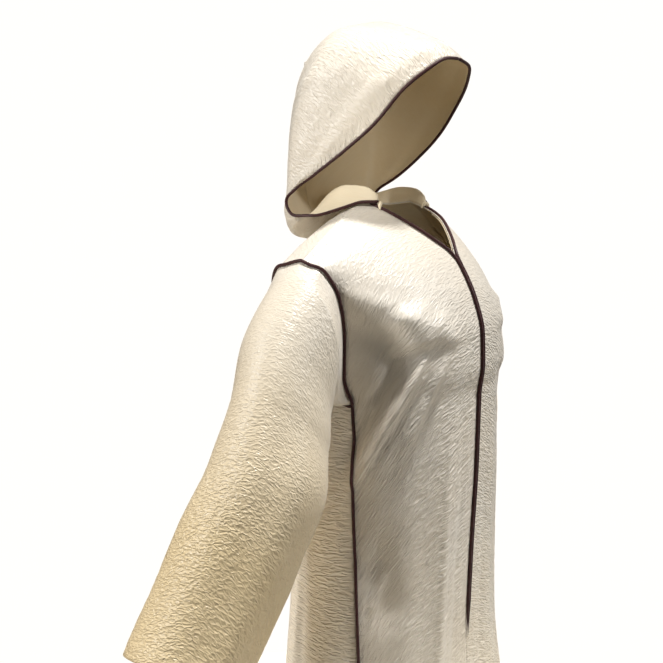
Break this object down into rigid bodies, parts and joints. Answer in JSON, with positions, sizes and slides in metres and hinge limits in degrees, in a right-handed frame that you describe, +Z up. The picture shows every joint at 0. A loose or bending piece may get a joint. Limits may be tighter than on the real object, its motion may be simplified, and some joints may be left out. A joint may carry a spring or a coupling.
{
  "type": "hooded abaya",
  "caption": "Full-length abaya with a raised hood and wide sleeves in crinkled satin, its edges and seams covered with dark piping, held out as it is worn.",
  "frame": {"origin": "midway between the shoulders, at the height where the cloth bears on the sides of the neck", "axes": "+Z up, -Y to the wearer's front, +X to the wearer's left"},
  "size_m": [0.9626, 0.4443, 1.7231],
  "materials": {
    "satin": "ivory crinkled satin",
    "satin_inside": "ivory satin, smooth inner side",
    "piping": "dark brown satin"
  },
  "bodies": {
    "root": {"back": "satin", "front_right": "satin", "front_left": "satin", "sleeve_right": "satin", "sleeve_left": "satin", "hood_right": "satin", "hood_left": "satin", "neck_facing_right": "satin_inside", "neck_facing_left": "satin_inside", "piping_front_right": "piping", "piping_front_left": "piping", "piping_hood_right": "piping", "piping_hood_left": "piping", "piping_armhole_right": "piping", "piping_armhole_left": "piping", "piping_side_right": "piping", "piping_side_left": "piping"}
  },
  "joints": []
}
